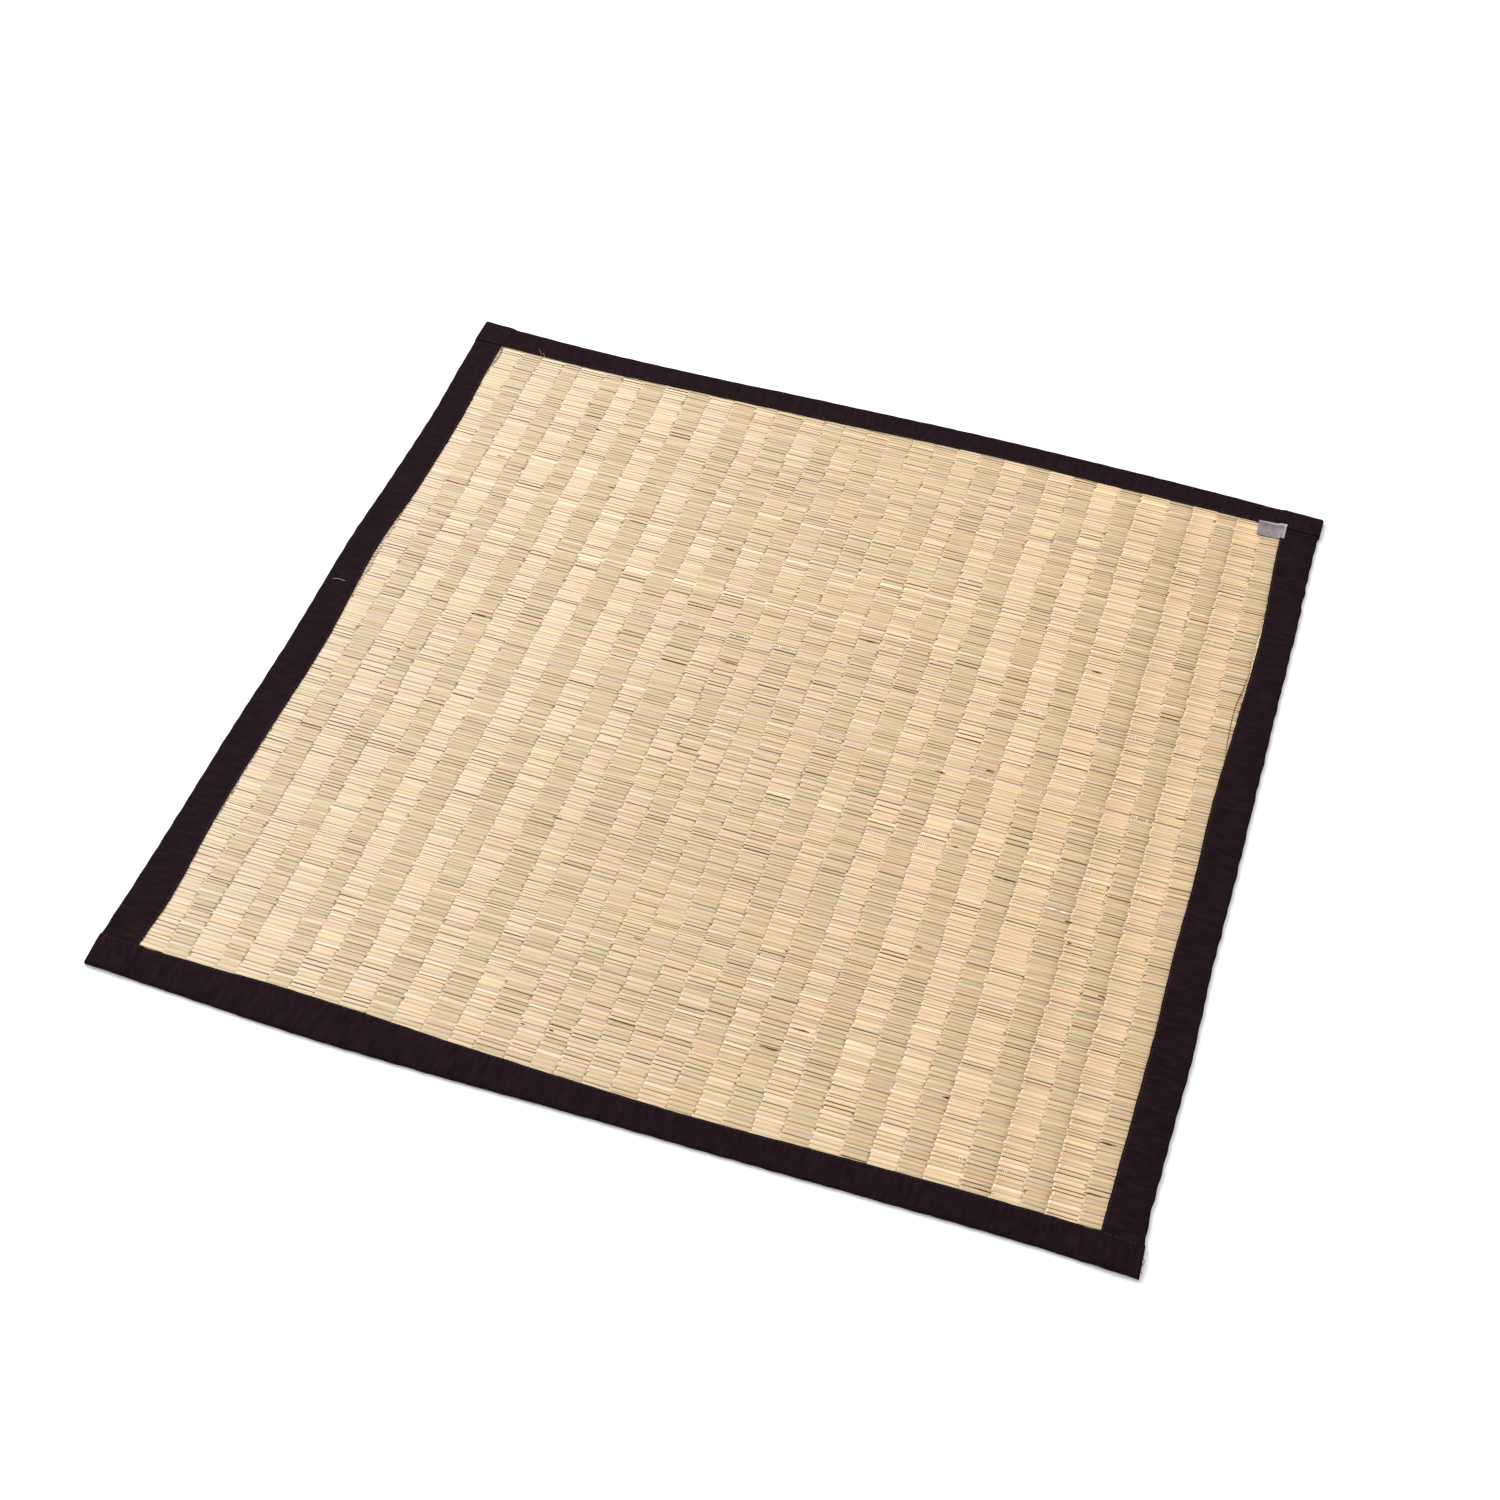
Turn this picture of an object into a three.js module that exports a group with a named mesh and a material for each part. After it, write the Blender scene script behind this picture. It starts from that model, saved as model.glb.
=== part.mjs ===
// A square rush mat with a cotton binding folded over each edge, lying flat.
// Units are millimetres and +Z is up. The origin is under the middle of the mat, on the surface
// that it lies on. The straws run along X, and the small label is at the +X, +Y corner.
import * as THREE from 'three';

// Overall box of the mat, seen from above
const LENGTH_X = 804;
const LENGTH_Y = 810;

// Woven rush: straws pass over and under pairs of warps, which raises one rib for each pair
const RUSH_THICKNESS = 3.0;
const RIB_PITCH = 21.4;
const RIB_CREST = 12;
const RIB_DEPTH = 0.6;
const RIB_SHIFT = 6.1;
const RIBS_EACH_WAY = 16;
const FIELD_ROWS = 12;

// Binding cloth and the room between pieces that lie on each other
const CLOTH = 1.0;
const GAP = 0.3;
const FOLD_REACH = 1.6;
const FOLD_STEPS = 4;

// The rush is pressed thinner under one strip, and more where two strips cross
const PRESSED_AT_EDGE = 1.0;
const PRESSED_AT_CORNER = 0.6;

// Layers settle between these distances from a strip's inner edge
const RAMP_START = 1;
const RAMP_END = 9;

// Label
const LABEL_WIDTH = 25;
const LABEL_DEPTH = 20;
const LABEL_THICKNESS = 1.0;
const LABEL_OVER_SIDE = 3;
const LABEL_OVER_FAR = 4;
const LABEL_SKEW = 1.4;

// Each edge wanders a little. Every row is a place along the edge, from 0 at the -X or -Y end to 1,
// with the distances from the overall box to the outer fold and to the inner edge of the strip.
const LEFT = [
  { at: 0.00, outer: 1.3, inner: 31.5 },
  { at: 0.05, outer: 0.0, inner: 31.6 },
  { at: 0.10, outer: 0.9, inner: 33.9 },
  { at: 0.20, outer: 1.4, inner: 30.7 },
  { at: 0.30, outer: 1.2, inner: 30.5 },
  { at: 0.45, outer: 2.7, inner: 32.9 },
  { at: 0.60, outer: 1.0, inner: 27.9 },
  { at: 0.70, outer: 3.4, inner: 31.8 },
  { at: 0.82, outer: 5.3, inner: 32.4 },
  { at: 0.92, outer: 3.2, inner: 29.3 },
  { at: 1.00, outer: 3.3, inner: 29.5 },
];
const RIGHT = [
  { at: 0.00, outer: 0.4, inner: 32.0 },
  { at: 0.08, outer: 2.4, inner: 31.4 },
  { at: 0.25, outer: 0.0, inner: 29.9 },
  { at: 0.35, outer: 1.4, inner: 31.0 },
  { at: 0.45, outer: 0.4, inner: 30.3 },
  { at: 0.55, outer: 0.6, inner: 31.6 },
  { at: 0.70, outer: 0.9, inner: 28.4 },
  { at: 0.80, outer: 0.5, inner: 27.6 },
  { at: 0.92, outer: 1.6, inner: 32.0 },
  { at: 1.00, outer: 0.9, inner: 32.6 },
];
const NEAR = [
  { at: 0.00, outer: 5.7, inner: 30.5 },
  { at: 0.10, outer: 3.1, inner: 30.1 },
  { at: 0.18, outer: 0.8, inner: 31.5 },
  { at: 0.27, outer: 0.0, inner: 30.3 },
  { at: 0.35, outer: 0.9, inner: 27.9 },
  { at: 0.50, outer: 3.7, inner: 26.0 },
  { at: 0.60, outer: 4.8, inner: 26.1 },
  { at: 0.75, outer: 7.2, inner: 30.2 },
  { at: 0.90, outer: 8.9, inner: 32.6 },
  { at: 1.00, outer: 7.4, inner: 31.5 },
];
const FAR = [
  { at: 0.00, outer: 7.4, inner: 35.5 },
  { at: 0.08, outer: 9.6, inner: 35.8 },
  { at: 0.16, outer: 10.8, inner: 36.4 },
  { at: 0.28, outer: 9.0, inner: 33.6 },
  { at: 0.40, outer: 5.1, inner: 31.0 },
  { at: 0.50, outer: 2.5, inner: 28.0 },
  { at: 0.60, outer: 0.3, inner: 24.9 },
  { at: 0.68, outer: 0.0, inner: 24.4 },
  { at: 0.77, outer: 0.3, inner: 25.5 },
  { at: 0.88, outer: 1.8, inner: 25.9 },
  { at: 1.00, outer: 5.2, inner: 28.0 },
];

const RUSH_FINISH = new THREE.MeshStandardMaterial({ color: 0xdcc59a, roughness: 0.62, metalness: 0 });
const BINDING_FINISH = new THREE.MeshStandardMaterial({ color: 0x1d181b, roughness: 0.92, metalness: 0 });
const LABEL_FINISH = new THREE.MeshStandardMaterial({ color: 0x9c8f94, roughness: 0.85, metalness: 0 });

// Value of one column of an edge's table at a place along it, on a curve through the rows.
function read(table, column, at) {
  const last = table.length - 1;
  let row = 0;
  while (row < last - 1 && table[row + 1].at < at) row += 1;
  const slope = (k) => {
    const before = table[Math.max(k - 1, 0)];
    const after = table[Math.min(k + 1, last)];
    return (after[column] - before[column]) / (after.at - before.at);
  };
  const from = table[row];
  const to = table[row + 1];
  const span = to.at - from.at;
  const t = THREE.MathUtils.clamp((at - from.at) / span, 0, 1);
  const rise = 3 * t * t - 2 * t * t * t;
  const level = from[column] * (1 - rise) + to[column] * rise;
  const leave = slope(row) * t * (1 - t) * (1 - t);
  const arrive = slope(row + 1) * t * t * (t - 1);
  return level + span * (leave + arrive);
}

// Lines of the outline, each as one coordinate worked out from the other
const alongX = (x) => x / LENGTH_X + 0.5;
const alongY = (y) => y / LENGTH_Y + 0.5;
const leftLine = (column, y) => -LENGTH_X / 2 + read(LEFT, column, alongY(y));
const rightLine = (column, y) => LENGTH_X / 2 - read(RIGHT, column, alongY(y));
const nearLine = (column, x) => -LENGTH_Y / 2 + read(NEAR, column, alongX(x));
const farLine = (column, x) => LENGTH_Y / 2 - read(FAR, column, alongX(x));

// 1 under a strip, 0 in the open field, with a straight ramp between.
const covered = (distance) => THREE.MathUtils.clamp((RAMP_END - distance) / (RAMP_END - RAMP_START), 0, 1);
const underSide = (x, y) => covered(Math.min(x - leftLine('inner', y), rightLine('inner', y) - x));
const underCross = (x, y) => covered(Math.min(y - nearLine('inner', x), farLine('inner', x) - y));

// Heights, from how far a point is under a side strip and under a strip that crosses the straws' ends
const rushBottom = (side, cross) => (CLOTH + GAP) * (side + cross);
const rushThickness = (side, cross) =>
  RUSH_THICKNESS - PRESSED_AT_EDGE * Math.max(side, cross) - PRESSED_AT_CORNER * Math.min(side, cross);
const rushTop = (side, cross) => rushBottom(side, cross) + rushThickness(side, cross);
const sideTop = (cross) => rushTop(1, cross) + GAP + CLOTH;
const crossTop = (side) => sideTop(0) + (sideTop(1) + GAP + CLOTH - sideTop(0)) * side;

// A closed sheet from a grid: point(i, j, 1) is on its outer face and point(i, j, 0) on its inner one.
// Seen from outside, i runs to the right where j runs up.
function sheet(countI, countJ, point) {
  const positions = [];
  const indices = [];
  const vertex = (i, j, face) => (i * countJ + j) * 2 + face;
  const quad = (a, b, c, d) => indices.push(a, b, c, a, c, d);
  for (let i = 0; i < countI; i += 1) {
    for (let j = 0; j < countJ; j += 1) {
      positions.push(...point(i, j, 0), ...point(i, j, 1));
    }
  }
  for (let i = 0; i + 1 < countI; i += 1) {
    for (let j = 0; j + 1 < countJ; j += 1) {
      quad(vertex(i, j, 1), vertex(i + 1, j, 1), vertex(i + 1, j + 1, 1), vertex(i, j + 1, 1));
      quad(vertex(i, j, 0), vertex(i, j + 1, 0), vertex(i + 1, j + 1, 0), vertex(i + 1, j, 0));
    }
  }
  const wall = (a, b) => quad(vertex(...a, 0), vertex(...b, 0), vertex(...b, 1), vertex(...a, 1));
  for (let i = 0; i + 1 < countI; i += 1) {
    wall([i, 0], [i + 1, 0]);
    wall([i + 1, countJ - 1], [i, countJ - 1]);
  }
  for (let j = 0; j + 1 < countJ; j += 1) {
    wall([countI - 1, j], [countI - 1, j + 1]);
    wall([0, j + 1], [0, j]);
  }
  const geometry = new THREE.BufferGeometry();
  geometry.setAttribute('position', new THREE.Float32BufferAttribute(positions, 3));
  geometry.setIndex(indices);
  geometry.computeVertexNormals();
  return geometry;
}

// Lines at equal steps between two ends, without the ends.
function between(from, to, count) {
  const step = (to - from) / (count + 1);
  return Array.from({ length: count }, (_, k) => from + step * (k + 1));
}

// Woven rush. Its lines along Y follow the side strips near them and the ribs elsewhere.
function rushPanel() {
  const rim = FOLD_REACH + GAP;
  const columns = [
    { x: (y) => leftLine('outer', y) + rim, valley: 0 },
    { x: (y) => leftLine('inner', y) + RAMP_START, valley: 0 },
    { x: (y) => leftLine('inner', y) + RAMP_END, valley: 0 },
  ];
  for (let rib = -RIBS_EACH_WAY; rib <= RIBS_EACH_WAY; rib += 1) {
    const x = RIB_SHIFT + rib * RIB_PITCH;
    const toCrest = (RIB_PITCH - RIB_CREST) / 2;
    columns.push({ x: () => x, valley: 1 });
    if (rib < RIBS_EACH_WAY) {
      columns.push({ x: () => x + toCrest, valley: 0 });
      columns.push({ x: () => x + RIB_PITCH - toCrest, valley: 0 });
    }
  }
  columns.push(
    { x: (y) => rightLine('inner', y) - RAMP_END, valley: 0 },
    { x: (y) => rightLine('inner', y) - RAMP_START, valley: 0 },
    { x: (y) => rightLine('outer', y) - rim, valley: 0 },
  );
  const rows = [
    (x) => nearLine('outer', x) + rim,
    (x) => nearLine('inner', x) + RAMP_START,
    (x) => nearLine('inner', x) + RAMP_END,
  ];
  const nearStop = nearLine('inner', 0) + RAMP_END;
  const farStop = farLine('inner', 0) - RAMP_END;
  rows.push(
    ...between(nearStop, farStop, FIELD_ROWS).map((y) => () => y),
    (x) => farLine('inner', x) - RAMP_END,
    (x) => farLine('inner', x) - RAMP_START,
    (x) => farLine('outer', x) - rim,
  );
  return sheet(columns.length, rows.length, (i, j, face) => {
    const y = rows[j](columns[i].x(rows[j](0)));
    const x = columns[i].x(y);
    const side = underSide(x, y);
    const cross = underCross(x, y);
    const valley = RIB_DEPTH * columns[i].valley * (1 - Math.max(side, cross));
    const z = face ? rushTop(side, cross) - valley : rushBottom(side, cross) + valley;
    return [x, y, z];
  });
}

// Section of a strip folded over an edge: steps from its lower inner edge round the fold to its upper one.
// Gives the distance in from the fold and the height, on the outer or the inner face of the cloth.
function foldedSection(step, face, width, bottom, top) {
  const steps = FOLD_STEPS + 2;
  const away = face ? 0 : CLOTH;
  const middle = (bottom + top) / 2;
  const half = (top - bottom) / 2 - away;
  if (step === 0) return [width, middle - half];
  if (step === steps) return [width, middle + half];
  const angle = Math.PI * ((step - 1) / FOLD_STEPS - 0.5);
  return [FOLD_REACH - (FOLD_REACH - away) * Math.cos(angle), middle + half * Math.sin(angle)];
}
const SECTION_POINTS = FOLD_STEPS + 3;

// Strip along the left or right edge. Its ends lie inside the strips that cross it.
function sideStrip(outline, inward) {
  const end = FOLD_REACH + GAP;
  const nearStop = nearLine('inner', outline('inner', 0)) + RAMP_END;
  const farStop = farLine('inner', outline('inner', 0)) - RAMP_END;
  const rows = [
    (x) => nearLine('outer', x) + end,
    (x) => nearLine('inner', x) + RAMP_START,
    (x) => nearLine('inner', x) + RAMP_END,
    ...between(nearStop, farStop, FIELD_ROWS).map((y) => () => y),
    (x) => farLine('inner', x) - RAMP_END,
    (x) => farLine('inner', x) - RAMP_START,
    (x) => farLine('outer', x) - end,
  ];
  if (inward > 0) rows.reverse();
  return sheet(rows.length, SECTION_POINTS, (i, j, face) => {
    const about = rows[i](outline('inner', 0));
    const width = Math.abs(outline('inner', about) - outline('outer', about));
    const cross = underCross(outline('inner', about), about);
    const [distance, z] = foldedSection(j, face, width, rushBottom(0, cross), sideTop(cross));
    const x = outline('outer', about) + inward * distance;
    return [x, rows[i](x), z];
  });
}

// Strip along the near or far edge, from corner to corner over the ends of the side strips.
function crossStrip(outline, inward) {
  const leftStop = leftLine('inner', outline('inner', 0)) + RAMP_END;
  const rightStop = rightLine('inner', outline('inner', 0)) - RAMP_END;
  const columns = [
    (y) => leftLine('outer', y),
    (y) => leftLine('inner', y) + RAMP_START,
    (y) => leftLine('inner', y) + RAMP_END,
    ...between(leftStop, rightStop, FIELD_ROWS).map((x) => () => x),
    (y) => rightLine('inner', y) - RAMP_END,
    (y) => rightLine('inner', y) - RAMP_START,
    (y) => rightLine('outer', y),
  ];
  if (inward < 0) columns.reverse();
  return sheet(columns.length, SECTION_POINTS, (i, j, face) => {
    const about = columns[i](outline('inner', 0));
    const width = Math.abs(outline('inner', about) - outline('outer', about));
    const side = underSide(about, outline('inner', about));
    const [distance, z] = foldedSection(j, face, width, 0, crossTop(side));
    const y = outline('outer', about) + inward * distance;
    return [columns[i](y), y, z];
  });
}

// Label over the inner corner of the right and far strips, following what it lies on.
function label() {
  const cornerX = rightLine('inner', LENGTH_Y / 2 - LABEL_DEPTH);
  const cornerY = farLine('inner', cornerX);
  const endX = cornerX + LABEL_OVER_SIDE;
  const endY = cornerY + LABEL_OVER_FAR;
  const xs = [endX - LABEL_WIDTH, cornerX - RAMP_END, cornerX - RAMP_START, endX];
  const ys = [endY - LABEL_DEPTH, cornerY - RAMP_END, cornerY - RAMP_START, endY];
  return sheet(xs.length, ys.length, (i, j, face) => {
    const side = xs[i] < cornerX - RAMP_START ? 0 : 1;
    const cross = ys[j] < cornerY - RAMP_START ? 0 : 1;
    let under = rushTop(side, cross);
    if (side) under = sideTop(cross);
    if (cross) under = crossTop(side);
    const skew = (LABEL_SKEW * i) / (xs.length - 1);
    const y = j === 0 || j === ys.length - 1 ? ys[j] + skew : ys[j];
    return [xs[i], y, under + GAP + face * LABEL_THICKNESS];
  });
}

const mat = new THREE.Group();
function add(name, geometry, material) {
  const mesh = new THREE.Mesh(geometry, material);
  mesh.name = name;
  mat.add(mesh);
}
add('rush_panel', rushPanel(), RUSH_FINISH);
add('binding_left', sideStrip(leftLine, 1), BINDING_FINISH);
add('binding_right', sideStrip(rightLine, -1), BINDING_FINISH);
add('binding_near', crossStrip(nearLine, 1), BINDING_FINISH);
add('binding_far', crossStrip(farLine, -1), BINDING_FINISH);
add('label', label(), LABEL_FINISH);

export default mat;
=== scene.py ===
"""A square woven rush mat with a cotton binding folded over each edge and a small blank cloth label.

Everything is worked out in millimetres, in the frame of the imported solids: X along the straws, Y across
them, Z up from the floor. A point becomes metres only when it goes into a mesh.
"""
import math

import bpy
import numpy as np
from mathutils import Matrix


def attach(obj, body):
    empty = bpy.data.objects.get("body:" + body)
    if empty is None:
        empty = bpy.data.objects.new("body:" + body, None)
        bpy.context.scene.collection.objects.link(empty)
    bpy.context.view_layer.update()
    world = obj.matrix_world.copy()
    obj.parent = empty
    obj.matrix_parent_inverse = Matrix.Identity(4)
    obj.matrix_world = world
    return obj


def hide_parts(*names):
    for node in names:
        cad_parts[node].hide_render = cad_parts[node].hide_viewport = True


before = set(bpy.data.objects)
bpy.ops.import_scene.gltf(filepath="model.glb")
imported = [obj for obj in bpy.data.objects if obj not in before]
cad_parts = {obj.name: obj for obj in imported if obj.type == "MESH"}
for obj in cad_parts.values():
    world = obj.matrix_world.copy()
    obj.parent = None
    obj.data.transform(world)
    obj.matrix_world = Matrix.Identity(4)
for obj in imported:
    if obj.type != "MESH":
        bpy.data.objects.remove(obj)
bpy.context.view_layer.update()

# The box of the mat, and its edges: place along the edge from 0 to 1, then the distances in from the box to
# the outer fold and to the inner edge of the binding strip. The solids have the same rows.
LENGTH_X, LENGTH_Y = 804.0, 810.0
OUTER, INNER = 1, 2
LEFT = (
    (0.00, 1.3, 31.5), (0.05, 0.0, 31.6), (0.10, 0.9, 33.9), (0.20, 1.4, 30.7), (0.30, 1.2, 30.5),
    (0.45, 2.7, 32.9), (0.60, 1.0, 27.9), (0.70, 3.4, 31.8), (0.82, 5.3, 32.4), (0.92, 3.2, 29.3),
    (1.00, 3.3, 29.5),
)
RIGHT = (
    (0.00, 0.4, 32.0), (0.08, 2.4, 31.4), (0.25, 0.0, 29.9), (0.35, 1.4, 31.0), (0.45, 0.4, 30.3),
    (0.55, 0.6, 31.6), (0.70, 0.9, 28.4), (0.80, 0.5, 27.6), (0.92, 1.6, 32.0), (1.00, 0.9, 32.6),
)
NEAR = (
    (0.00, 5.7, 30.5), (0.10, 3.1, 30.1), (0.18, 0.8, 31.5), (0.27, 0.0, 30.3), (0.35, 0.9, 27.9),
    (0.50, 3.7, 26.0), (0.60, 4.8, 26.1), (0.75, 7.2, 30.2), (0.90, 8.9, 32.6), (1.00, 7.4, 31.5),
)
FAR = (
    (0.00, 7.4, 35.5), (0.08, 9.6, 35.8), (0.16, 10.8, 36.4), (0.28, 9.0, 33.6), (0.40, 5.1, 31.0),
    (0.50, 2.5, 28.0), (0.60, 0.3, 24.9), (0.68, 0.0, 24.4), (0.77, 0.3, 25.5), (0.88, 1.8, 25.9),
    (1.00, 5.2, 28.0),
)

# The sewn strips differ from those rows: each reaches further by FULLER, outwards and inwards, and the near and
# far ones are turned, so that they lie further out by TURNED at X = CORNER and further in at X = -CORNER
FULLER = {"left": 0.15, "right": 0.7, "near": 1.3, "far": 0.35}
TURNED = {"near": 0.85, "far": 1.2}
CORNER = 380.0

# Where the straws change sides, along X. Each column between two of these lies over two warp threads, and
# WARP_SHARES has their places as shares of its width, for each family that may float there.
COLUMN_EDGES = np.array([
    -388.0, -372.0, -351.7, -332.9, -309.0, -292.6, -267.9, -250.3, -230.5, -208.8, -186.7, -165.8, -142.6,
    -120.5, -101.5, -76.8, -56.2, -37.5, -16.2, 5.1, 26.8, 48.9, 69.5, 90.4, 112.1, 133.4, 155.1, 177.6,
    198.1, 219.8, 239.3, 265.4, 287.9, 309.6, 327.9, 351.5, 372.0, 388.0,
])
COLUMNS = len(COLUMN_EDGES) - 1
WARP_SHARES = np.array([[0.26, 0.80], [0.33, 0.88]])

# Straws: two families take turns along Y. Family 0 has its pale root ends at -X and floats in the odd columns,
# family 1 has them at +X and floats in the even ones. WIDTH_SPREAD is the deviation of their widths'
# logarithms, OUTSIDE_STEP the room beyond the first and the last ones, and FLOAT_INSET the share of a column's
# width in which a straw changes sides.
STRAWS = 440
FIRST_STRAW, LAST_STRAW = -393.6, 391.0
WIDTH_SPREAD = 0.36
OUTSIDE_STEP = 2.4
STRAW_SIDES = 5
FLOAT_INSET = 0.055

# Heights: the underside of the strips and of the rush, one cloth, one cloth with the air under it, the air
# between the rush and the cloth over it, the rush, and what it loses where one strip or two press it
FLOOR = 0.02
RUSH_FLOOR = 0.08
CLOTH = 0.8
LAYER = CLOTH + 0.02
AIR = 0.08
RUSH_THICKNESS = 2.70
PRESSED_AT_EDGE = 0.36
PRESSED_AT_CORNER = 0.36

# Distances in from a strip's inner edge between which the rush rises to where the strip holds it
COVERED_FULLY, COVERED_NOT = 0.5, 6.0

# How many knots a random field has each way before it repeats, and the knot that lies at the mat's middle
KNOTS = 499
MIDDLE_KNOT = 700

X_AXIS, Y_AXIS, Z_AXIS = np.eye(3)


# ---------------- numbers

def smooth(t):
    """0 below 0 and 1 above 1, with 3 t squared minus 2 t cubed between."""
    t = np.clip(t, 0, 1)
    return t * t * (3 - 2 * t)


def drift(seed, x, y, size_x, size_y):
    """A slow random field from -1 to 1. Every knot of a grid with that cell size has a random value, and a
    point blends the four knots round it with the smooth step of its place in the cell."""
    x, y = np.asarray(x, float) / size_x + MIDDLE_KNOT, np.asarray(y, float) / size_y + MIDDLE_KNOT
    x, y = np.broadcast_arrays(x, y)
    knots = np.random.default_rng(seed).uniform(-1, 1, (KNOTS, KNOTS))
    i, j = np.floor(x).astype(int), np.floor(y).astype(int)
    u, v = smooth(x - i), smooth(y - j)
    i, j, k, m = i % KNOTS, j % KNOTS, (i + 1) % KNOTS, (j + 1) % KNOTS
    return (knots[i, j] * (1 - u) + knots[k, j] * u) * (1 - v) + (knots[i, m] * (1 - u) + knots[k, m] * u) * v


def read(table, column, at):
    """One column of an edge's rows at places along it: the cubic through each pair of rows whose slopes there
    are those between the rows on either side."""
    rows = np.array(table)
    place, value = rows[:, 0], rows[:, column]
    last = len(place) - 1
    before, after = np.maximum(np.arange(last + 1) - 1, 0), np.minimum(np.arange(last + 1) + 1, last)
    slope = (value[after] - value[before]) / (place[after] - place[before])
    at = np.asarray(at, float)
    k = np.clip(np.searchsorted(place, at, side="right") - 1, 0, last - 1)
    span = place[k + 1] - place[k]
    t = np.clip((at - place[k]) / span, 0, 1)
    level = value[k] + (value[k + 1] - value[k]) * smooth(t)
    return level + span * (slope[k] * t * (1 - t) ** 2 + slope[k + 1] * t * t * (t - 1))


def line_in(table, column, at, side):
    """Distance in from the box to a strip's outer or inner line. The four functions after this one give the
    strips' lines in the frame of the mat."""
    return read(table, column, at) + FULLER[side] * (1 if column == INNER else -1)


def left_line(column, y):
    return -LENGTH_X / 2 + line_in(LEFT, column, y / LENGTH_Y + 0.5, "left")


def right_line(column, y):
    return LENGTH_X / 2 - line_in(RIGHT, column, y / LENGTH_Y + 0.5, "right")


def near_line(column, x):
    return -LENGTH_Y / 2 + line_in(NEAR, column, x / LENGTH_X + 0.5, "near") - TURNED["near"] * x / CORNER


def far_line(column, x):
    return LENGTH_Y / 2 - line_in(FAR, column, x / LENGTH_X + 0.5, "far") + TURNED["far"] * x / CORNER


def inside(x, y):
    """How far in a point lies from the inner edges of the side strips, and from those of the cross strips."""
    from_sides = np.minimum(x - left_line(INNER, y), right_line(INNER, y) - x)
    return from_sides, np.minimum(y - near_line(INNER, x), far_line(INNER, x) - y)


def under_strips(x, y):
    """How much a point lies under the left or right strip, and how much under the near or far one, which lie
    across their ends: 1 under a strip, 0 in the open field, and a smooth ramp between."""
    return [smooth((COVERED_NOT - distance) / (COVERED_NOT - COVERED_FULLY)) for distance in inside(x, y)]


def rush_low(side, cross):
    """Underside of the rush: just off the floor, and one cloth higher under each strip."""
    return RUSH_FLOOR + LAYER * (side + cross)


def rush_high(side, cross):
    """Top of the rush: its underside and its thickness, pressed where one strip or two hold it."""
    pressed = PRESSED_AT_EDGE * np.maximum(side, cross) + PRESSED_AT_CORNER * np.minimum(side, cross)
    return rush_low(side, cross) + RUSH_THICKNESS - pressed


def linear(red, green, blue):
    """A display colour from 0 to 255 as linear light: the power curve of the display, with its straight foot."""
    c = np.array([red, green, blue], float) / 255
    return np.where(c <= 0.04045, c / 12.92, ((c + 0.055) / 1.055) ** 2.4)


# ---------------- finishes

class Value:
    """A number that a shader works out. Sums on it add Math nodes to its finish."""

    def __init__(self, finish, socket):
        self.finish, self.socket = finish, socket

    def sum_of(self, operation, *numbers):
        """The result of one Math node."""
        return self.finish.add("ShaderNodeMath", {"operation": operation}, dict(enumerate(numbers)))

    def __add__(self, other):
        return self.sum_of("ADD", self, other)

    def __sub__(self, other):
        return self.sum_of("SUBTRACT", self, other)

    def __rsub__(self, other):
        return self.sum_of("SUBTRACT", other, self)

    def __mul__(self, other):
        return self.sum_of("MULTIPLY", self, other)

    def __pow__(self, other):
        return self.sum_of("POWER", self, other)

    def wave(self, pitch):
        """A sine of a length in metres that repeats at that pitch."""
        return self.sum_of("SINE", self * (2 * math.pi / pitch))

    def above(self, start, end):
        """0 below start and 1 above end, with a smooth step between."""
        sockets = {0: self, 1: start, 2: end, 3: 0.0, 4: 1.0}
        return self.finish.add("ShaderNodeMapRange", {"interpolation_type": "SMOOTHSTEP"}, sockets)

    __radd__, __rmul__ = __add__, __mul__


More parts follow.
